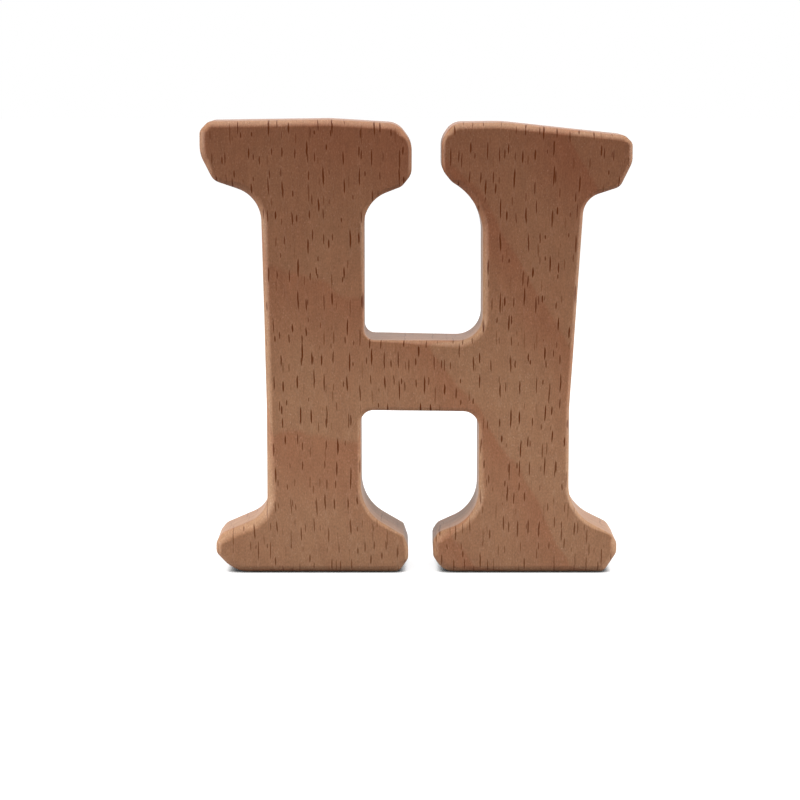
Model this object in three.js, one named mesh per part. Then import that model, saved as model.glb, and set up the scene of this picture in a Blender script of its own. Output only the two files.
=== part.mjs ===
// Wooden letter teether: a capital H with bracketed slab serifs, cut whole from one beech board.
// Millimetres, +Z up. The front face looks along -Y, and the origin is under the middle of the letter.
import * as THREE from 'three';

// Board
const boardThickness = 12;
const letterHeight = 66;

// Stems: upright inner sides, and outer sides that taper from the upper neck to the waist and stand upright below
const upperNeckDrop = 16;
const waistHeight = 24;
const waistRadius = 40;
const leftUpperWidth = 14.85;
const leftWaistWidth = 13.75;
const rightUpperWidth = 14.33;
const rightWaistWidth = 13.2;

// The opening under the crossbar lies a little left of the one above it
const lowerOpeningShift = 0.5;

// Open necks between the inner serif tips
const upperNeckGap = 4.25;
const lowerNeckGap = 3.6;

// Crossbar
const barHeight = 10.36;
const barMiddleHeight = 28.95;
const barTilt = 0.2;
const barUpperLeftRadius = 1.5;
const barUpperRightRadius = 3.6;
const barLowerLeftRadius = 1.8;
const barLowerRightRadius = 2.3;

// Crowns of the two top edges
const leftCrownSetBack = 5;
const rightCrownSetBack = 2.9;
const rightCrownDrop = 0.4;
const crownRadius = 24;

// Rounded arrises between the faces and the outline, sanded by hand and so not all alike
const broadArris = 1.4;
const softArris = 1;
const firmArris = 0.6;
const crispArris = 0.3;

// Fullness of an arris across the edge: 1 would be a flat bevel and 2 a quarter round
const arrisFullness = 1.4;

// Half serifs. Depths are measured from the stem's end: down from the top, or up from the sole.
// reach: stem side to tip. bracket: where the slope, carried on, meets the stem's side.
// heel, heelIn: corner between slope and tip. cheek: where the tip turns upright.
// clip, clipIn: the clipped outer corner. edge: how far that corner lies inside the stem's end.
const leftOuterTop = {
  reach: 8.75, bracket: 11.15, heel: 8.8, heelIn: 2, cheek: 5, clip: 1.4, clipIn: 1.3, edge: 0.25,
  bracketRadius: 5, heelRadius: 2, cheekRadius: 5, clipRadius: 1.3, edgeRadius: 1.3,
  sideArris: softArris, slopeArris: firmArris, endArris: softArris,
};
const leftInnerTop = {
  reach: 6.9, bracket: 11.8, heel: 9.7, heelIn: 1.45, cheek: 7.9, clip: 2.75, clipIn: 2, edge: 0.6,
  bracketRadius: 5, heelRadius: 1.6, cheekRadius: 2.4, clipRadius: 3.4, edgeRadius: 3,
  sideArris: firmArris, slopeArris: firmArris, endArris: firmArris,
};
const rightInnerTop = {
  reach: 5.97, bracket: 12.1, heel: 8.95, heelIn: 1.4, cheek: 7.2, clip: 2.45, clipIn: 1.6, edge: 0.5,
  bracketRadius: 8.5, heelRadius: 2, cheekRadius: 2.6, clipRadius: 3.2, edgeRadius: 2.6,
  sideArris: softArris, slopeArris: firmArris, endArris: firmArris,
};
const rightOuterTop = {
  reach: 6.93, bracket: 11.4, heel: 9.7, heelIn: 1.75, cheek: 6.1, clip: 1.1, clipIn: 1.1, edge: 2.3,
  bracketRadius: 3.2, heelRadius: 1.7, cheekRadius: 3, clipRadius: 1.1, edgeRadius: 1.1,
  sideArris: firmArris, slopeArris: firmArris, endArris: firmArris,
};
const leftOuterFoot = {
  reach: 7.5, bracket: 8.55, heel: 5.75, heelIn: 0.95, cheek: 4.4, clip: 2.8, clipIn: 2.7, edge: 0,
  bracketRadius: 4, heelRadius: 1.8, cheekRadius: 1.3, clipRadius: 1.3, edgeRadius: 5,
  sideArris: broadArris, slopeArris: broadArris, endArris: softArris,
};
const leftInnerFoot = {
  reach: 6.9, bracket: 9.2, heel: 5.45, heelIn: 0.65, cheek: 3.6, clip: 2, clipIn: 1.3, edge: 0,
  bracketRadius: 6.5, heelRadius: 0.7, cheekRadius: 2, clipRadius: 1.2, edgeRadius: 1.5,
  sideArris: firmArris, slopeArris: crispArris, endArris: firmArris,
};
const rightInnerFoot = {
  bracket: 8.2, heel: 5.8, heelIn: 0.7, cheek: 4.5, clip: 2.3, clipIn: 1.5, edge: 0,
  bracketRadius: 5.8, heelRadius: 1.8, cheekRadius: 1.3, clipRadius: 1.3, edgeRadius: 3,
  sideArris: softArris, slopeArris: broadArris, endArris: softArris,
};
const rightOuterFoot = {
  reach: 7.1, bracket: 8.9, heel: 5.65, heelIn: 0.8, cheek: 4.4, clip: 2.8, clipIn: 1.85, edge: 0,
  bracketRadius: 6.5, heelRadius: 1.5, cheekRadius: 1.3, clipRadius: 1.5, edgeRadius: 1.3,
  sideArris: firmArris, slopeArris: crispArris, endArris: softArris,
};

// Fineness of the rounded surfaces
const arcStepDegrees = 11;
const arrisSteps = 6;

// Share of a straight edge, of an outline fillet and of the board that a rounding may use up
const edgeShare = 0.96;
const filletShare = 0.8;
const boardShare = 0.45;

// Finish
const beechColour = new THREE.Color().setRGB(0.62, 0.44, 0.33, THREE.SRGBColorSpace);
const beechRoughness = 0.62;

const upperNeckHeight = letterHeight - upperNeckDrop;
const fromTop = (depth) => letterHeight - depth;
const fromSole = (depth) => depth;

// A stem stands on its inner side and tapers on its outer side, the one that its hand points to
function stem(innerSide, outerHand, upperWidth, waistWidth) {
  const inner = (z) => (z > barMiddleHeight ? innerSide : innerSide - lowerOpeningShift);
  const outer = (z) => {
    const above = Math.max(0, (z - waistHeight) / (upperNeckHeight - waistHeight));
    const upper = inner(upperNeckHeight) + outerHand * upperWidth;
    const waist = inner(waistHeight) + outerHand * waistWidth;
    return THREE.MathUtils.lerp(waist, upper, above);
  };
  return { outerHand, inner, outer, side: (z, hand) => (hand === outerHand ? outer(z) : inner(z)) };
}

function corner(x, z, radius, arris) {
  return { point: new THREE.Vector2(x, z), radius, arris };
}

// Corners of a half serif, from the stem's side out to its tip and on to the stem's end
function halfSerif(serif, ownStem, hand, level) {
  const rootHeight = level(serif.bracket);
  const root = ownStem.side(rootHeight, hand);
  const tip = root + hand * serif.reach;
  return [
    corner(root, rootHeight, serif.bracketRadius, serif.sideArris),
    corner(tip - hand * serif.heelIn, level(serif.heel), serif.heelRadius, serif.slopeArris),
    corner(tip, level(serif.cheek), serif.cheekRadius, serif.endArris),
    corner(tip, level(serif.edge + serif.clip), serif.clipRadius, serif.endArris),
    corner(tip - hand * serif.clipIn, level(serif.edge), serif.edgeRadius, softArris),
  ];
}

// The stems stand apart by their inner serifs and the upper neck, and the right foot fills up to the lower neck
function layOutLetter() {
  const rightInnerSide = leftInnerTop.reach + upperNeckGap + rightInnerTop.reach;
  const leftStem = stem(0, -1, leftUpperWidth, leftWaistWidth);
  const rightStem = stem(rightInnerSide, 1, rightUpperWidth, rightWaistWidth);
  const filledReach = rightInnerSide - leftInnerFoot.reach - lowerNeckGap;
  return { leftStem, rightStem, filledFoot: { ...rightInnerFoot, reach: filledReach } };
}

// Corners of the whole outline, anticlockwise seen from the front
function letterCorners() {
  const { leftStem, rightStem, filledFoot } = layOutLetter();
  const barCorner = (ownStem, end, radius, arris) => {
    const z = barMiddleHeight + (end * barHeight - ownStem.outerHand * barTilt) / 2;
    return corner(ownStem.inner(z), z, radius, arris);
  };
  const waistCorner = (ownStem, arris) => corner(ownStem.outer(waistHeight), waistHeight, waistRadius, arris);
  const crownPlace = (ownStem, setBack) => ownStem.inner(letterHeight) + ownStem.outerHand * setBack;
  return [
    ...halfSerif(leftOuterFoot, leftStem, -1, fromSole),
    ...halfSerif(leftInnerFoot, leftStem, 1, fromSole).reverse(),
    barCorner(leftStem, -1, barLowerLeftRadius, firmArris),
    barCorner(rightStem, -1, barLowerRightRadius, firmArris),
    ...halfSerif(filledFoot, rightStem, -1, fromSole),
    ...halfSerif(rightOuterFoot, rightStem, 1, fromSole).reverse(),
    waistCorner(rightStem, firmArris),
    ...halfSerif(rightOuterTop, rightStem, 1, fromTop),
    corner(crownPlace(rightStem, rightCrownSetBack), fromTop(rightCrownDrop), crownRadius, softArris),
    ...halfSerif(rightInnerTop, rightStem, -1, fromTop).reverse(),
    barCorner(rightStem, 1, barUpperRightRadius, softArris),
    barCorner(leftStem, 1, barUpperLeftRadius, crispArris),
    ...halfSerif(leftInnerTop, leftStem, 1, fromTop),
    corner(crownPlace(leftStem, leftCrownSetBack), letterHeight, crownRadius, softArris),
    ...halfSerif(leftOuterTop, leftStem, -1, fromTop).reverse(),
    waistCorner(leftStem, softArris),
  ];
}

// Each corner becomes an arc between its two straight edges, shortened where an edge has no room for it
function filletOutline(corners) {
  const count = corners.length;
  const bends = corners.map((here, i) => {
    const before = corners[(i + count - 1) % count].point;
    const after = corners[(i + 1) % count].point;
    const into = here.point.clone().sub(before);
    const outOf = after.clone().sub(here.point);
    const turn = Math.atan2(into.cross(outOf), into.dot(outOf));
    const setBack = here.radius * Math.tan(Math.abs(turn) / 2);
    return { edge: outOf.length(), into: into.normalize(), outOf: outOf.normalize(), turn, setBack };
  });
  const room = (i) => {
    const next = bends[(i + 1) % count];
    return Math.min(1, (edgeShare * bends[i].edge) / (bends[i].setBack + next.setBack));
  };
  return corners.flatMap((here, i) => {
    const bend = bends[i];
    const fit = Math.min(room(i), room((i + count - 1) % count));
    const radius = here.radius * fit;
    const hand = Math.sign(bend.turn);
    const start = here.point.clone().addScaledVector(bend.into, -bend.setBack * fit);
    const startNormal = new THREE.Vector2(bend.into.y, -bend.into.x);
    const centre = start.clone().addScaledVector(startNormal, -hand * radius);
    const steps = Math.max(2, Math.ceil(THREE.MathUtils.radToDeg(Math.abs(bend.turn)) / arcStepDegrees));
    const arrisRoom = hand > 0 ? filletShare * radius : Infinity;
    const arris = Math.min(here.arris, arrisRoom, boardShare * boardThickness);
    return Array.from({ length: steps + 1 }, (_, k) => {
      const normal = startNormal.clone().rotateAround(new THREE.Vector2(), (bend.turn * k) / steps);
      const point = centre.clone().addScaledVector(normal, hand * radius);
      return { point, normal, arris };
    });
  });
}

// The board's section at one outline point: eased bevels at the front and back, joined by the sawn wall
function sectionSteps() {
  const power = 2 / arrisFullness;
  const quarter = Array.from({ length: arrisSteps + 1 }, (_, k) => {
    const angle = (Math.PI / 2) * (k / arrisSteps);
    return { inset: 1 - Math.sin(angle) ** power, sink: 1 - Math.cos(angle) ** power };
  });
  const front = quarter.map((step) => ({ ...step, face: -1 }));
  const back = quarter.map((step) => ({ ...step, face: 1 })).reverse();
  return [...front, ...back];
}

// Loft the outline through the section and close it with the flat front and back faces
function loftLetter(outline) {
  const rings = sectionSteps();
  const count = outline.length;
  const positions = [];
  for (const ring of rings) {
    for (const { point, normal, arris } of outline) {
      const inset = point.clone().addScaledVector(normal, -arris * ring.inset);
      positions.push(inset.x, ring.face * (boardThickness / 2 - arris * ring.sink), inset.y);
    }
  }
  const indices = [];
  for (let r = 0; r + 1 < rings.length; r += 1) {
    for (let i = 0; i < count; i += 1) {
      const next = (i + 1) % count;
      const [a, b] = [r * count + i, r * count + next];
      const [c, d] = [b + count, a + count];
      indices.push(a, d, b, b, d, c);
    }
  }
  const face = outline.map(({ point, normal, arris }) => point.clone().addScaledVector(normal, -arris));
  const backStart = (rings.length - 1) * count;
  for (const [a, b, c] of THREE.ShapeUtils.triangulateShape(face, [])) {
    indices.push(a, b, c);
    indices.push(backStart + a, backStart + c, backStart + b);
  }
  const geometry = new THREE.BufferGeometry();
  geometry.setAttribute('position', new THREE.Float32BufferAttribute(positions, 3));
  geometry.setIndex(indices);
  return geometry;
}

function beechLetter() {
  const geometry = loftLetter(filletOutline(letterCorners()));
  geometry.computeBoundingBox();
  const middle = geometry.boundingBox.getCenter(new THREE.Vector3());
  geometry.translate(-middle.x, 0, 0);
  geometry.computeVertexNormals();
  const material = new THREE.MeshStandardMaterial({
    color: beechColour,
    roughness: beechRoughness,
    metalness: 0,
  });
  const letter = new THREE.Mesh(geometry, material);
  letter.name = 'beech_letter';
  return letter;
}

const teether = new THREE.Group();
teether.add(beechLetter());

export default teether;
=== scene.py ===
# Wooden letter teether: the looks of the beech letter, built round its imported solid. Metres, +Z up.
import math

import bmesh
import bpy
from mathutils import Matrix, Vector, noise
from mathutils.geometry import delaunay_2d_cdt, interpolate_bezier
from mathutils.kdtree import KDTree


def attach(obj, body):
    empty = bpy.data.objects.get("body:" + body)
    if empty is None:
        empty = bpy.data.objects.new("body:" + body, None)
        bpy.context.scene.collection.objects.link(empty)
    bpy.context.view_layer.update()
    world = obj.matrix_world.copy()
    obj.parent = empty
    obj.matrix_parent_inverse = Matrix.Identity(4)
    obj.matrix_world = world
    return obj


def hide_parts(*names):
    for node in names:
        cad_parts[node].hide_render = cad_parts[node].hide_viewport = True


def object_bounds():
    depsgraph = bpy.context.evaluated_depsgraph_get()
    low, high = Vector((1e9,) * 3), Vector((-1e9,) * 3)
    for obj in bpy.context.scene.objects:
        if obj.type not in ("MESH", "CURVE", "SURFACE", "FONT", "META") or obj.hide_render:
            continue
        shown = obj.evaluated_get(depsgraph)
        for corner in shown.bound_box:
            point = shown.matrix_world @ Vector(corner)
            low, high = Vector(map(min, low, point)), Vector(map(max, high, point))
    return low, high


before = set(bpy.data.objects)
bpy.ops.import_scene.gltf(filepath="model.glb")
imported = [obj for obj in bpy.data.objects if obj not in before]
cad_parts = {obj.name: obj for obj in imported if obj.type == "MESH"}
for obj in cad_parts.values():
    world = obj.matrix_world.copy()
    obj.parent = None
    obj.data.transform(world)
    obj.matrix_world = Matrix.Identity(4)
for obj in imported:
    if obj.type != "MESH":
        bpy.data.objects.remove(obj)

cadLow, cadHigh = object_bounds()
mm = 0.001
scene = bpy.context.scene
scene.view_settings.view_transform = "Standard"
print("frame loaded,", len(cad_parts), "node")


# Camera: a long lens, level from side to side and looking a little down
camera = {
    "name": "view_camera",
    "eye": (-2.3, -402.96, 74.68),    # mm
    "target": (-2.3, -6.0, 25.45),    # mm, on the front face
    "focal": 2755,                    # pixels
    "image": 800,                     # pixels
    "sensor": 36.0,                   # mm
    "nearest": 10.0,                  # mm, nothing closer is drawn
}


# Puts a camera or a lamp at a place, looking at a target
def aim(thing, place, target):
    thing.location = place
    thing.rotation_euler = (target - place).to_track_quat("-Z", "Y").to_euler()
    scene.collection.objects.link(thing)


def placeCamera():
    lens = bpy.data.cameras.new(camera["name"])
    lens.sensor_width = camera["sensor"]
    lens.lens = camera["focal"] * camera["sensor"] / camera["image"]
    lens.clip_start = camera["nearest"] * mm
    viewer = bpy.data.objects.new(camera["name"], lens)
    aim(viewer, Vector(camera["eye"]) * mm, Vector(camera["target"]) * mm)
    scene.camera = viewer


placeCamera()
print("camera placed")


# Letter: the solid's outline and eased edges drawn again in fine even steps, then sanded by hand
letter = {
    "node": "beech_letter",
    "name": "sanded_letter",
    "weldGap": 0.0005,      # mm, points of the solid closer than this are one
    "outlineStep": 0.45,    # mm between points along the outline
    "edgeSteps": 10,        # rows across an eased edge
    "wallSteps": 10,        # rows across the sawn edge of the board
    "keeper": 0.07,         # mm, strip beside each eased edge that keeps the flat faces flat
    "faceStep": 1.15,       # mm between points on the flat faces
    "faceClear": 0.6,       # share of that step left clear beside the strip
    "faceGap": 0.00001,     # mm, points on a flat face closer than this are one
    "sanding": (            # mm, length and depth
        (9.0, 0.05),        # hollows left by the sanding block
        (2.6, 0.015),       # finer unevenness
    ),
}


# Front rim of the open band, walked anticlockwise as the reader sees it
def rimInOrder(band):
    ends = [vert for vert in band.verts if vert.is_boundary and vert.co.y < 0]
    rim = [min(ends, key=lambda vert: tuple(vert.co.xz))]
    while len(rim) < len(ends):
        ways = [edge.other_vert(rim[-1]) for edge in rim[-1].link_edges if edge.is_boundary]
        rim.append(next(way for way in ways if way not in rim[-2:] and way is not rim[0]))
    pairs = zip(rim, rim[1:] + rim[:1])
    area = sum(here.co.x * there.co.z - there.co.x * here.co.z for here, there in pairs)
    return rim if area > 0 else rim[:1] + rim[:0:-1]


# Rows of the solid's points over the edge from the front face to the wall, each in order round the outline
def solidRows(solid):
    weldGap = letter["weldGap"] * mm
    band = bmesh.new()
    band.from_mesh(solid.data)
    bmesh.ops.remove_doubles(band, verts=band.verts, dist=weldGap)
    level = cadHigh.y - weldGap
    flat = [face for face in band.faces if all(abs(vert.co.y) > level for vert in face.verts)]
    bmesh.ops.delete(band, geom=flat, context="FACES")
    rows = [rimInOrder(band)]
    seen = set(rows[0])
    while True:
        onward = [[edge.other_vert(vert) for edge in vert.link_edges] for vert in rows[-1]]
        fresh = [[other for other in others if other.co.y < 0 and other not in seen] for others in onward]
        if not all(fresh):
            break
        rows.append([min(others, key=lambda other: (other.co - vert.co).length)
                     for vert, others in zip(rows[-1], fresh)])
        seen.update(rows[-1])
    places = [[vert.co.copy() for vert in row] for row in rows]
    band.free()
    return places


# Power that bends a quarter round into the eased edge, from the point half-way over: 1 is round, 2 is flat
def edgePower(rows):
    rim, middle, wall = (rows[row][0].y for row in (0, len(rows) // 2, -1))
    sunk = (middle - rim) / (wall - rim)
    roundThere = math.sqrt(0.5)    # what a quarter round leaves of its radius at that point
    return math.log(1 - sunk) / math.log(roundThere)


# Stations along the outline: place and way out in the XZ plane, and the width of the eased edge there
def outlineStations(rows):
    rim, wall = rows[0], rows[-1]
    points = [place.xz for place in wall]
    offsets = [(outer - inner).xz for inner, outer in zip(rim, wall)]
    ways = [offset.normalized() for offset in offsets]
    stations = []
    for index, point in enumerate(points):
        ahead = (index + 1) % len(points)
        chord = (points[ahead] - point).length
        steps = max(1, math.ceil(chord / (letter["outlineStep"] * mm)))
        lead = Vector((-ways[index].y, ways[index].x)) * chord / 3
        trail = Vector((-ways[ahead].y, ways[ahead].x)) * chord / 3
        curve = interpolate_bezier(point, point + lead, points[ahead] - trail, points[ahead], steps + 1)
        for step in range(steps):
            share = step / steps
            ease = share * share * (3 - 2 * share)
            width = offsets[index].length * (1 - ease) + offsets[ahead].length * ease
            stations.append((curve[step], ways[index].lerp(ways[ahead], share).normalized(), width))
    return stations


# Inset from the outline and depth from the front face, row by row over the edge to the back
def edgeProfile(width, power):
    thick = cadHigh.y - cadLow.y
    near = width + letter["keeper"] * mm
    turns = [math.pi / 2 * step / letter["edgeSteps"] for step in range(letter["edgeSteps"] + 1)]
    front = [(near, 0.0)]
    for turn in turns:
        front.append((width * (1 - math.sin(turn) ** power), width * (1 - abs(math.cos(turn)) ** power)))
    wallStep = (thick - 2 * near) / letter["wallSteps"]
    wall = [(0.0, near + wallStep * step) for step in range(letter["wallSteps"] + 1)]
    return front + wall + [(inset, thick - depth) for inset, depth in reversed(front)]


# Points of an even triangular grid that lie inside a loop, clear of its points
def gridInside(loop):
    step = letter["faceStep"]
    nearby = KDTree(len(loop))
    for index, point in enumerate(loop):
        nearby.insert((point.x, point.y, 0.0), index)
    nearby.balance()
    sides = list(zip(loop, loop[1:] + loop[:1]))
    rise = step * math.sqrt(0.75)    # height of an even triangle
    top = max(point.y for point in loop)
    inside = []
    for row in range(1, math.ceil(top / rise)):
        height = row * rise
        cuts = sorted(here.x + (there.x - here.x) * (height - here.y) / (there.y - here.y)
                      for here, there in sides if (here.y > height) != (there.y > height))
        shift = step / 2 * (row % 2)
        for left, right in zip(cuts[::2], cuts[1::2]):
            columns = range(math.ceil((left - shift) / step), math.floor((right - shift) / step) + 1)
            inside += [Vector((column * step + shift, height)) for column in columns]
    clear = letter["faceClear"] * step
    return [point for point in inside if nearby.find((point.x, point.y, 0.0))[2] > clear]


def letterMesh(solid):
    rows = solidRows(solid)
    power = edgePower(rows)
    sections = []
    for point, way, width in outlineStations(rows):
        profile = edgeProfile(width, power)
        sections.append([(point - way * inset, cadLow.y + depth) for inset, depth in profile])
    around, across = len(sections), len(sections[0])
    places = [(flat.x, depth, flat.y) for section in sections for flat, depth in section]
    faces = []
    for column in range(around):
        here, there = column * across, (column + 1) % around * across
        faces += [(here + row, here + row + 1, there + row + 1, there + row) for row in range(across - 1)]

    # the two flat faces share one set of triangles
    loop = [section[0][0] / mm for section in sections]
    inside = gridInside(loop)
    ends = [list(range(around))]
    insideOnly = 1    # keeps the triangles inside the outline
    drawn = delaunay_2d_cdt(loop + inside, [], ends, insideOnly, letter["faceGap"])
    corners, origins = drawn[2], drawn[3]
    for depth, edgeRow in ((cadLow.y, 0), (cadHigh.y, across - 1)):
        first = len(places) - around
        places += [(point.x * mm, depth, point.y * mm) for point in inside]
        for corner in corners:
            given = [origins[index][0] for index in corner]
            named = [index * across + edgeRow if index < around else first + index for index in given]
            faces.append(named if edgeRow == 0 else named[::-1])
    mesh = bpy.data.meshes.new(letter["name"])
    mesh.from_pydata(places, [], faces)
    return mesh


# Sanding only takes wood away, so each point moves inwards
def sandSkin(skin):
    places = [vertex.co.copy() for vertex in skin.vertices]
    normals = [entry.vector.copy() for entry in skin.vertex_normals]
    sanded = []
    for place, normal in zip(places, normals):
        taken = 0.0
        for length, depth in letter["sanding"]:
            taken += depth * (0.5 + 0.5 * noise.noise(place / mm / length))    # noise runs from -1 to 1
        sanded.extend(place - normal * taken * mm)
    skin.vertices.foreach_set("co", sanded)
    skin.update()


def sandedLetter():
    skin = letterMesh(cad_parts[letter["node"]])
    sandSkin(skin)
    skin.polygons.foreach_set("use_smooth", [True] * len(skin.polygons))
    piece = bpy.data.objects.new(letter["name"], skin)
    scene.collection.objects.link(piece)
    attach(piece, "root")
    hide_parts(letter["node"])
    return piece


woodPiece = sandedLetter()
print("letter sanded,", len(woodPiece.data.polygons), "faces")


# Small helpers for wiring nodes: a term is a socket or a plain value, and a span is a start and an end
def emptyTree(owner):
    owner.use_nodes = True
    owner.node_tree.nodes.clear()
    return owner.node_tree


def feed(tree, socket, term):
    if isinstance(term, bpy.types.NodeSocket):
        tree.links.new(term, socket)
    else:
        socket.default_value = term


def feedAll(tree, step, *terms):
    for socket, term in zip(step.inputs, terms):
        feed(tree, socket, term)
    return step.outputs


def calc(tree, operation, *terms):
    step = tree.nodes.new("ShaderNodeMath")
    step.operation = operation
    return feedAll(tree, step, *terms)[0]


def vectorCalc(tree, operation, *terms):
    step = tree.nodes.new("ShaderNodeVectorMath")
    step.operation = operation
    return feedAll(tree, step, *terms)["Value" if operation == "LENGTH" else "Vector"]


def joinAxes(tree, x, y, z):
    return feedAll(tree, tree.nodes.new("ShaderNodeCombineXYZ"), x, y, z)[0]


def evenly(tree, term):
    return joinAxes(tree, term, term, term)


def splitAxes(tree, vector):
    return feedAll(tree, tree.nodes.new("ShaderNodeSeparateXYZ"), vector)


# Soft step: the first end value up to the start of a span, the second from its end on
def easeBetween(tree, term, span, ends=(0.0, 1.0)):
    ease = tree.nodes.new("ShaderNodeMapRange")
    ease.interpolation_type = "SMOOTHSTEP"
    return feedAll(tree, ease, term, *span, *ends)[0]


def noiseAt(tree, place, size, detail=1.0):
    cloud = tree.nodes.new("ShaderNodeTexNoise")
    feed(tree, cloud.inputs["Vector"], vectorCalc(tree, "DIVIDE", place, size))
    feed(tree, cloud.inputs["Scale"], 1.0)
    feed(tree, cloud.inputs["Detail"], detail)
    return cloud.outputs[0]


# The same noise, swinging to both sides of nought
def swingAt(tree, place, size, detail=1.0):
    return calc(tree, "SUBTRACT", noiseAt(tree, place, size, detail), 0.5)


def mixColours(tree, mode, share, first, second):
    mix = tree.nodes.new("ShaderNodeMix")
    mix.data_type = "RGBA"
    mix.blend_type = mode
    feed(tree, mix.inputs["Factor"], share)
    sockets = [socket for socket in mix.inputs if socket.type == "RGBA"]
    for socket, colour in zip(sockets, (first, second)):
        feed(tree, socket, (*colour, 1.0) if isinstance(colour, tuple) else colour)
    return next(socket for socket in mix.outputs if socket.type == "RGBA")


# One for what the camera sees, by mirror or through glass too, and nought for light that falls on the letter
def seenByCamera(tree):
    path = tree.nodes.new("ShaderNodeLightPath").outputs
    indirect = calc(tree, "MAXIMUM", path["Is Glossy Ray"], path["Is Transmission Ray"])
    return calc(tree, "MAXIMUM", path["Is Camera Ray"], indirect)


# Grain: it fans out upwards and wanders a little through the board
grain = {
    "fanOut": 0.0012,                # lean per mm of height, for each mm from the middle
    "fanFrom": 33.0,                 # mm, height at which the fan leaves the grain in its place
    "drifts": (                      # mm, size along x, y and z, and way sideways
        ((0.8, 3.0, 1.1), 0.16),     # a fine wobble
        ((14.0, 5.0, 16.0), 1.1),    # a slow wander
    ),
}


def followGrain(tree, place):
    x, y, z = splitAxes(tree, place)
    above = calc(tree, "SUBTRACT", z, grain["fanFrom"])
    sideways = calc(tree, "MULTIPLY", x, calc(tree, "MULTIPLY_ADD", above, -grain["fanOut"], 1.0))
    for size, way in grain["drifts"]:
        sideways = calc(tree, "MULTIPLY_ADD", swingAt(tree, place, size), way, sideways)
    return joinAxes(tree, sideways, y, z)


# Growth rings: a sawtooth of the distance from the tree's heart, red in late wood and sharp at its end
rings = {
    "heart": (-19.0, 148.0),         # mm, x and y
    "taper": 0.13,                   # slope of the rings along the grain
    "archTop": 44.1,                 # mm, height of a ring's arch on the front face
    "widthBelow": 2.96,              # mm, ring width below that arch
    "widthAbove": 4.0,               # mm, and above it
    "waverSize": (7.0, 9.0, 12.0),   # mm along x, y and z
    "waver": 0.9,                    # mm
    "lateOver": (0.35, 0.98),        # part of a ring over which late wood comes in
    "endsOver": (0.95, 1.0),         # and over which it ends
}


def lateWood(tree, place):
    x, y, z = splitAxes(tree, place)
    heartX, heartY = rings["heart"]
    offHeart = joinAxes(tree, calc(tree, "SUBTRACT", x, heartX), calc(tree, "SUBTRACT", y, heartY), 0.0)
    radius = calc(tree, "MULTIPLY_ADD", z, rings["taper"], vectorCalc(tree, "LENGTH", offHeart))
    waver = swingAt(tree, place, rings["waverSize"], detail=2.0)
    radius = calc(tree, "MULTIPLY_ADD", waver, rings["waver"], radius)
    frontFace = cadLow.y / mm
    fromArch = calc(tree, "SUBTRACT", radius, heartY - frontFace + rings["archTop"] * rings["taper"])
    below = calc(tree, "DIVIDE", calc(tree, "MINIMUM", fromArch, 0.0), rings["widthBelow"])
    above = calc(tree, "DIVIDE", calc(tree, "MAXIMUM", fromArch, 0.0), rings["widthAbove"])
    ripening = calc(tree, "FRACT", calc(tree, "ADD", below, above))
    late = easeBetween(tree, ripening, rings["lateOver"])
    return calc(tree, "MULTIPLY", late, easeBetween(tree, ripening, rings["endsOver"], (1.0, 0.0)))


# Figure: tan wood, redder in late wood and in soft patches, with streaks, fibres, mottle and pores
figure = {
    "tan": (0.303, 0.134, 0.062),    # linear colours
    "red": (0.280, 0.104, 0.046),
    "patchSize": (6.0, 6.0, 11.0),   # mm along x, y and z, as are the sizes below
    "evenRed": -0.3,
    "patchRed": 0.9,
    "lateRed": 0.75,
    "streakSize": (0.9, 1.2, 14.0),
    "fibreSize": (0.16, 0.22, 4.5),
    "mottleSize": (1.1, 1.4, 2.0),
    "poreSize": (0.20, 0.30, 0.35),
    "evenTone": 0.37,
    "streakTone": 0.12,
    "fibreTone": 0.22,
    "mottleTone": 0.26,
    "poreTone": 0.66,
}


def woodFigure(tree, place, along, fibre):
    patch = noiseAt(tree, place, figure["patchSize"], detail=2.0)
    redness = calc(tree, "MULTIPLY_ADD", patch, figure["patchRed"], figure["evenRed"])
    redness = calc(tree, "MULTIPLY_ADD", lateWood(tree, place), figure["lateRed"], redness)
    wood = mixColours(tree, "MIX", calc(tree, "MINIMUM", redness, 1.0), figure["tan"], figure["red"])
    streak = noiseAt(tree, along, figure["streakSize"], detail=2.0)
    mottle = noiseAt(tree, place, figure["mottleSize"], detail=2.0)
    pore = noiseAt(tree, place, figure["poreSize"], detail=2.0)
    tone = figure["evenTone"]
    for cloud, share in ((streak, "streakTone"), (fibre, "fibreTone"),
                         (mottle, "mottleTone"), (pore, "poreTone")):
        tone = calc(tree, "MULTIPLY_ADD", cloud, figure[share], tone)
    return mixColours(tree, "MULTIPLY", 1.0, wood, evenly(tree, tone))


# Painted shade and sheen: the faces darken and redden upwards as painted shade, and the arrises, walls and
# tops are paler as painted sheen, the undersides hardly
shadeAndSheen = {
    "shadeBetween": (18.0, 72.0),     # mm above the soles
    # colour at the foot, lighter and bluer, is painted light; colour at the top, darker, is painted shade
    "paintedLightLow": (0.93, 1.08, 1.27),
    "paintedShadeHigh": (0.64, 0.60, 0.66),
    "shadeLostToSheen": 0.5,                 # part of the painted shade left off where the sheen is painted
    # painted sheen: a paler, whiter colour laid on arrises, walls and tops
    "sanded": (1.27, 1.42, 1.48),
    "arrisToFace": (0.68, 0.99),     # facing, where the arris gives way to the face
    "wallToArris": (0.0, 0.5),       # facing, where the wall gives way to the arris
    "onWalls": 0.68,                 # how much of the painted sheen the walls get
    "underToArris": (-0.6, 0.1),     # upward, where undersides give way to the rest
    "sheenUnderneath": 0.1,               # how much of the painted sheen the undersides get
}


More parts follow.
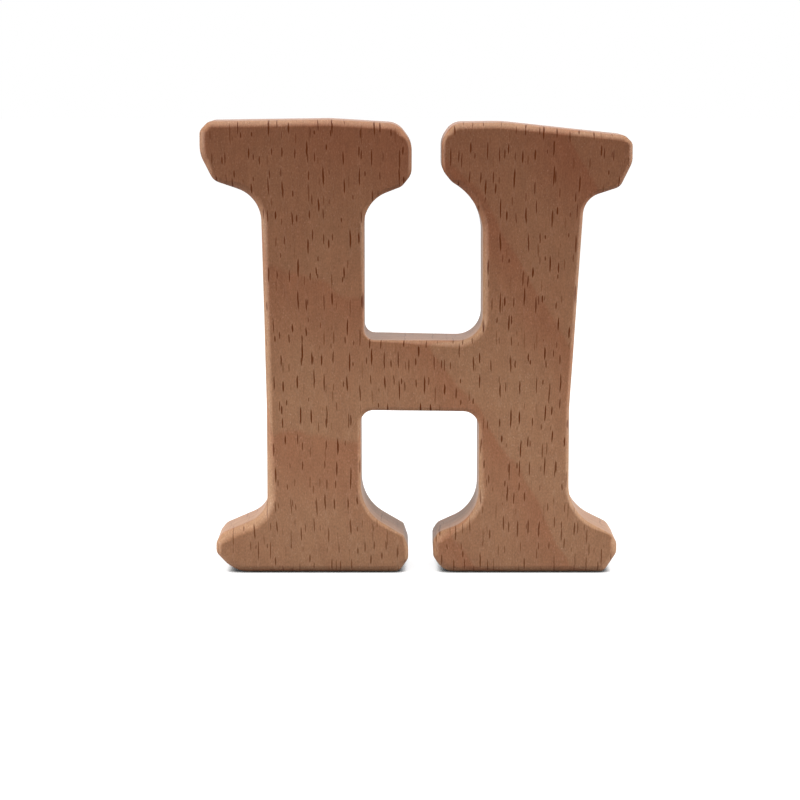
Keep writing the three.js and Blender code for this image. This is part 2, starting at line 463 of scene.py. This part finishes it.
def paintShadeAndSheen(tree, wood, height, facing, upward):
    # where the painted sheen goes: arrises, walls and tops, little underneath
    sanded = calc(tree, "MULTIPLY", easeBetween(tree, facing, shadeAndSheen["arrisToFace"], (1.0, 0.0)),
                  easeBetween(tree, facing, shadeAndSheen["wallToArris"], (shadeAndSheen["onWalls"], 1.0)))
    sanded = calc(tree, "MULTIPLY", sanded,
                  easeBetween(tree, upward, shadeAndSheen["underToArris"], (shadeAndSheen["sheenUnderneath"], 1.0)))
    # painted shade: darker and redder upwards, less of it under the painted sheen
    kept = calc(tree, "MULTIPLY_ADD", sanded, -shadeAndSheen["shadeLostToSheen"], 1.0)
    paintedShadeShare = calc(tree, "MULTIPLY", easeBetween(tree, height, shadeAndSheen["shadeBetween"]), kept)
    paintedShadeColour = mixColours(tree, "MIX", paintedShadeShare, shadeAndSheen["paintedLightLow"], shadeAndSheen["paintedShadeHigh"])
    shadedWood = mixColours(tree, "MULTIPLY", 1.0, wood, paintedShadeColour)
    return mixColours(tree, "MULTIPLY", sanded, shadedWood, shadeAndSheen["sanded"])


# Rays: thin upright ribbons that run through the board, dark where a face cuts across them
rays = {
    "colour": (0.092, 0.020, 0.002),
    "scatter": 0.8,                  # how far the ribbons stray from an even grid
    "widths": (0.6, 1.2),            # least and most share of a layer's half width
    "lengths": (0.35, 1.0),          # and of its half length
    "fadesIn": 0.5,                  # range of chance over which ribbons gain strength
    "bodyEnds": (0.7, 1.0),          # in half sizes from the ribbon's middle, as are the next two
    "rimStarts": (1.0, 1.3),         # pale tissue beside the ribbon
    "rimEnds": (1.5, 2.0),
    "layers": {                      # cell and half size along x, y, z in mm, part missing, shift, weight
        "bold rays": ((1.8, 9.0, 4.2), (0.15, 6.5, 1.8), 0.0, 0.0, 1.0),
        "short rays": ((1.7, 7.0, 3.0), (0.12, 5.0, 1.1), 0.2, 17.3, 0.9),
        "hair rays": ((0.6, 4.0, 1.5), (0.06, 2.5, 0.6), 0.5, 41.9, 0.25),
    },
    "onSides": 0.22,                 # rays cut lengthwise, on the side walls, are faint
    "toSides": (0.55, 0.95),         # sideways, where the rest gives way to the side walls
    "onTops": 0.55,                  # rays on tops, where the fibres end
    "toTops": (0.7, 0.97),           # upward, where the rest gives way to the tops
    "nearSoles": 0.75,               # rays near the soles are a little paler
    "soleReach": (0.0, 24.0),        # mm above the soles
}


def pickBetween(tree, chance, least, most):
    return calc(tree, "MULTIPLY_ADD", chance, most - least, least)


def makeRayGroup():
    group = bpy.data.node_groups.new("beech_rays", "ShaderNodeTree")
    for name in ("Grain", "Cell", "Half Size"):
        group.interface.new_socket(name, in_out="INPUT", socket_type="NodeSocketVector")
    for name in ("Missing", "Shift"):
        group.interface.new_socket(name, in_out="INPUT", socket_type="NodeSocketFloat")
    for name in ("Mask", "Rim"):
        group.interface.new_socket(name, in_out="OUTPUT", socket_type="NodeSocketFloat")
    given = group.nodes.new("NodeGroupInput").outputs
    result = group.nodes.new("NodeGroupOutput").inputs

    # one ribbon to a cell, with its own width, length and strength
    scattered = vectorCalc(group, "DIVIDE", given["Grain"], given["Cell"])
    moved = vectorCalc(group, "ADD", scattered, evenly(group, given["Shift"]))
    cells = group.nodes.new("ShaderNodeTexVoronoi")
    feed(group, cells.inputs["Vector"], moved)
    feed(group, cells.inputs["Scale"], 1.0)
    feed(group, cells.inputs["Randomness"], rays["scatter"])
    away = vectorCalc(group, "SUBTRACT", moved, cells.outputs["Position"])
    inMm = vectorCalc(group, "MULTIPLY", away, given["Cell"])
    chance = splitAxes(group, cells.outputs["Color"])
    room = splitAxes(group, given["Half Size"])
    halfWidth = calc(group, "MULTIPLY", room["X"], pickBetween(group, chance["Y"], *rays["widths"]))
    halfLength = calc(group, "MULTIPLY", room["Z"], pickBetween(group, chance["X"], *rays["lengths"]))
    ribbon = vectorCalc(group, "DIVIDE", inMm, joinAxes(group, halfWidth, room["Y"], halfLength))
    reach = vectorCalc(group, "LENGTH", ribbon)
    strongFrom = calc(group, "ADD", given["Missing"], rays["fadesIn"])
    strength = easeBetween(group, chance["Z"], (given["Missing"], strongFrom))

    body = easeBetween(group, reach, rays["bodyEnds"], (1.0, 0.0))
    rim = calc(group, "MULTIPLY", easeBetween(group, reach, rays["rimStarts"]),
               easeBetween(group, reach, rays["rimEnds"], (1.0, 0.0)))
    for name, shape in (("Mask", body), ("Rim", rim)):
        feed(group, result[name], calc(group, "MULTIPLY", shape, strength))
    return group


# The strongest of the layers' dark ribbons, and of the pale tissue beside them
def layRays(tree, along):
    group = makeRayGroup()
    strongest = {"Mask": 0.0, "Rim": 0.0}
    for name, (cell, half, missing, shift, weight) in rays["layers"].items():
        layer = tree.nodes.new("ShaderNodeGroup")
        layer.node_tree = group
        layer.label = name
        outputs = feedAll(tree, layer, along, cell, half, missing, shift)
        for part in strongest:
            weighed = calc(tree, "MULTIPLY", outputs[part], weight)
            strongest[part] = calc(tree, "MAXIMUM", strongest[part], weighed)
    return strongest["Mask"], strongest["Rim"]


def fadeRays(tree, dark, height, sideways, upward):
    for term, span, ends in ((sideways, rays["toSides"], (1.0, rays["onSides"])),
                             (upward, rays["toTops"], (1.0, rays["onTops"])),
                             (height, rays["soleReach"], (rays["nearSoles"], 1.0))):
        dark = calc(tree, "MULTIPLY", dark, easeBetween(tree, term, span, ends))
    return dark


# Pale specks in patches, and pale tissue beside the rays, both mostly on the faces
specks = {
    "tint": (1.38, 1.60, 1.90),
    "size": (0.16, 0.30, 0.38),      # mm along x, y and z
    "start": (0.55, 0.8),            # noise level from which a speck comes in
    "most": 0.75,
    "patchSize": (2.2, 3.0, 6.0),    # mm
    "patchStart": (0.3, 0.7),        # noise level from which a patch comes in
    "patchShare": (0.25, 1.35),      # specks between and in the patches
    "besideRays": 0.22,
    "wallToFace": (0.2, 0.9),        # facing, where the wall gives way to the face
    "onWalls": 0.35,
}


def paleShare(tree, along, rims, facing):
    fine = noiseAt(tree, along, specks["size"])
    broad = noiseAt(tree, along, specks["patchSize"])
    speck = calc(tree, "MULTIPLY", easeBetween(tree, fine, specks["start"], (0.0, specks["most"])),
                 easeBetween(tree, broad, specks["patchStart"], specks["patchShare"]))
    pale = calc(tree, "MAXIMUM", speck, calc(tree, "MULTIPLY", rims, specks["besideRays"]))
    onFaces = easeBetween(tree, facing, specks["wallToFace"], (specks["onWalls"], 1.0))
    return calc(tree, "MULTIPLY", pale, onFaces)


# Beech: the figure, painted shade and sheen, specks and rays together under a soft oiled sheen
beech = {
    "roughness": 0.43,
    "roughnessRange": 0.14,          # rougher and smoother with the fibres
    "shine": 0.12,
    "bump": 0.04,                    # mm
    "bumpStrength": 0.6,
    "rayHeight": -0.8,               # in bumps: rays lie low
    "fibreHeight": 0.35,             # and fibres stand proud
}


def beechMaterial():
    material = bpy.data.materials.new("oiled_beech")
    tree = emptyTree(material)
    where = tree.nodes.new("ShaderNodeTexCoord").outputs
    place = vectorCalc(tree, "MULTIPLY", where["Object"], (1 / mm, 1 / mm, 1 / mm))    # mm
    height = splitAxes(tree, place)["Z"]

    # sideways is 1 on side walls, facing is 1 on the front and back, upward is 1 on tops and -1 underneath
    sideways, facing = splitAxes(tree, vectorCalc(tree, "ABSOLUTE", where["Normal"]))[:2]
    upward = splitAxes(tree, where["Normal"])["Z"]

    along = followGrain(tree, place)
    fibre = noiseAt(tree, along, figure["fibreSize"], detail=3.0)
    wood = paintShadeAndSheen(tree, woodFigure(tree, place, along, fibre), height, facing, upward)
    dark, rims = layRays(tree, along)
    wood = mixColours(tree, "MULTIPLY", paleShare(tree, along, rims, facing), wood, specks["tint"])
    dark = fadeRays(tree, dark, height, sideways, upward)
    wood = mixColours(tree, "MIX", dark, wood, rays["colour"])

    proud = calc(tree, "MULTIPLY", fibre, beech["fibreHeight"])
    relief = calc(tree, "MULTIPLY_ADD", dark, beech["rayHeight"], proud)
    bump = tree.nodes.new("ShaderNodeBump")
    feed(tree, bump.inputs["Strength"], beech["bumpStrength"])
    feed(tree, bump.inputs["Distance"], beech["bump"] * mm)
    feed(tree, bump.inputs["Height"], relief)
    smoothest = beech["roughness"] - beech["roughnessRange"] / 2
    roughness = calc(tree, "MULTIPLY_ADD", fibre, beech["roughnessRange"], smoothest)
    shader = tree.nodes.new("ShaderNodeBsdfPrincipled")
    feed(tree, shader.inputs["Base Color"], wood)
    feed(tree, shader.inputs["Roughness"], roughness)
    feed(tree, shader.inputs["Specular IOR Level"], beech["shine"])
    feed(tree, shader.inputs["Normal"], bump.outputs["Normal"])
    output = tree.nodes.new("ShaderNodeOutputMaterial")
    feed(tree, output.inputs["Surface"], shader.outputs[0])
    return material


woodPiece.data.materials.append(beechMaterial())
print("beech material made")


# Floor: white to the eye, with a dark line where the soles meet it and a pale bounce close by
floor = {
    "size": 6.0,                     # m
    "gap": 0.02,                     # mm under the soles
    "contact": 1.2,                  # mm, reach of the contact shadow
    "contactSamples": 4,
    "contactFades": (0.25, 0.9),     # openness over which that shadow fades
    "contactLight": 0.02,            # light left in it
    "nearBounce": 0.90,
    "farBounce": 0.08,
    "bounceFrom": 40.0,              # mm from the letter's middle
    "bounceTo": 90.0,                # mm
    "dimFrom": 8.0,                  # mm from the letter's mid-plane, less bounce close to the soles
    "dimTo": 35.0,                   # mm
    "dimBounce": 0.5,
    "clearAt": 110.0,                # mm, pure white from here on
    "shadowShare": 0.25,
    "glow": 0.88,
}


# What the camera sees: a white glow, and a little diffuse white that takes the letter's shadow
def whiteFloor(tree, distance):
    openness = tree.nodes.new("ShaderNodeAmbientOcclusion")
    openness.samples = floor["contactSamples"]
    feed(tree, openness.inputs["Distance"], floor["contact"] * mm)
    contact = easeBetween(tree, openness.outputs["AO"], floor["contactFades"], (floor["contactLight"], 1.0))
    clearSpan = (floor["bounceFrom"] * mm, floor["clearAt"] * mm)
    clear = easeBetween(tree, distance, clearSpan, (floor["glow"], 1.0))
    shaded = tree.nodes.new("ShaderNodeBsdfDiffuse")
    feed(tree, shaded.inputs["Color"], evenly(tree, calc(tree, "MULTIPLY", contact, floor["shadowShare"])))
    glow = tree.nodes.new("ShaderNodeEmission")
    feed(tree, glow.inputs["Strength"], calc(tree, "MULTIPLY", contact, clear))
    return feedAll(tree, tree.nodes.new("ShaderNodeAddShader"), shaded.outputs[0], glow.outputs[0])[0]


# What lights the letter from below: a pale patch round it
def bounceFloor(tree, position, distance):
    patchSpan = (floor["bounceFrom"] * mm, floor["bounceTo"] * mm)
    patch = easeBetween(tree, distance, patchSpan, (floor["nearBounce"], floor["farBounce"]))
    aside = calc(tree, "ABSOLUTE", splitAxes(tree, position)["Y"])
    dimSpan = (floor["dimFrom"] * mm, floor["dimTo"] * mm)
    level = calc(tree, "MULTIPLY", patch, easeBetween(tree, aside, dimSpan, (floor["dimBounce"], 1.0)))
    bounce = tree.nodes.new("ShaderNodeBsdfDiffuse")
    return feedAll(tree, bounce, evenly(tree, level))[0]


def floorMaterial():
    material = bpy.data.materials.new("white_floor")
    tree = emptyTree(material)
    position = tree.nodes.new("ShaderNodeNewGeometry").outputs["Position"]
    distance = vectorCalc(tree, "LENGTH", position)
    bounce = bounceFloor(tree, position, distance)
    choose = tree.nodes.new("ShaderNodeMixShader")
    feedAll(tree, choose, seenByCamera(tree), bounce, whiteFloor(tree, distance))
    output = tree.nodes.new("ShaderNodeOutputMaterial")
    feed(tree, output.inputs["Surface"], choose.outputs[0])
    return material


def layFloor():
    half = floor["size"] / 2
    level = -floor["gap"] * mm
    corners = [(-half, -half, level), (half, -half, level), (half, half, level), (-half, half, level)]
    mesh = bpy.data.meshes.new("studio_floor")
    mesh.from_pydata(corners, [], [(0, 1, 2, 3)])
    mesh.materials.append(floorMaterial())
    plane = bpy.data.objects.new("studio_floor", mesh)
    scene.collection.objects.link(plane)


layFloor()
print("floor laid")


# Studio: a pale tent, brighter behind than in front, a wide panel above, a box behind and one at each side
studio = {
    "tent": 0.20,
    "backGain": 0.05,
    "boxes": {                       # place and size in m, watts
        "box_above": ((-0.02, -0.03, 0.46), 0.50, 3.0),
        "box_behind": ((0.0, 0.42, 0.26), 0.40, 0.22),
        "box_left": ((-0.37, -0.08, 0.09), 0.26, 1.9),
        "box_right": ((0.37, -0.09, 0.09), 0.26, 1.8),
    },
}


def pitchTent():
    world = bpy.data.worlds.new("white_tent")
    tree = emptyTree(world)
    scene.world = world
    towards = tree.nodes.new("ShaderNodeTexCoord").outputs["Generated"]
    level = calc(tree, "MULTIPLY_ADD", splitAxes(tree, towards)["Y"], studio["backGain"], studio["tent"])
    white = (1.0, 1.0, 1.0, 1.0)
    room = feedAll(tree, tree.nodes.new("ShaderNodeBackground"), white, level)[0]
    backdrop = feedAll(tree, tree.nodes.new("ShaderNodeBackground"), white, 1.0)[0]
    choose = tree.nodes.new("ShaderNodeMixShader")
    feedAll(tree, choose, seenByCamera(tree), room, backdrop)
    output = tree.nodes.new("ShaderNodeOutputWorld")
    feed(tree, output.inputs["Surface"], choose.outputs[0])


def hangBoxes():
    middle = (cadLow + cadHigh) / 2
    for name, (place, size, watts) in studio["boxes"].items():
        lamp = bpy.data.lights.new(name, "AREA")
        lamp.size = size
        lamp.energy = watts
        aim(bpy.data.objects.new(name, lamp), Vector(place), middle)


pitchTent()
hangBoxes()
print("studio lit,", len(studio["boxes"]), "soft boxes")
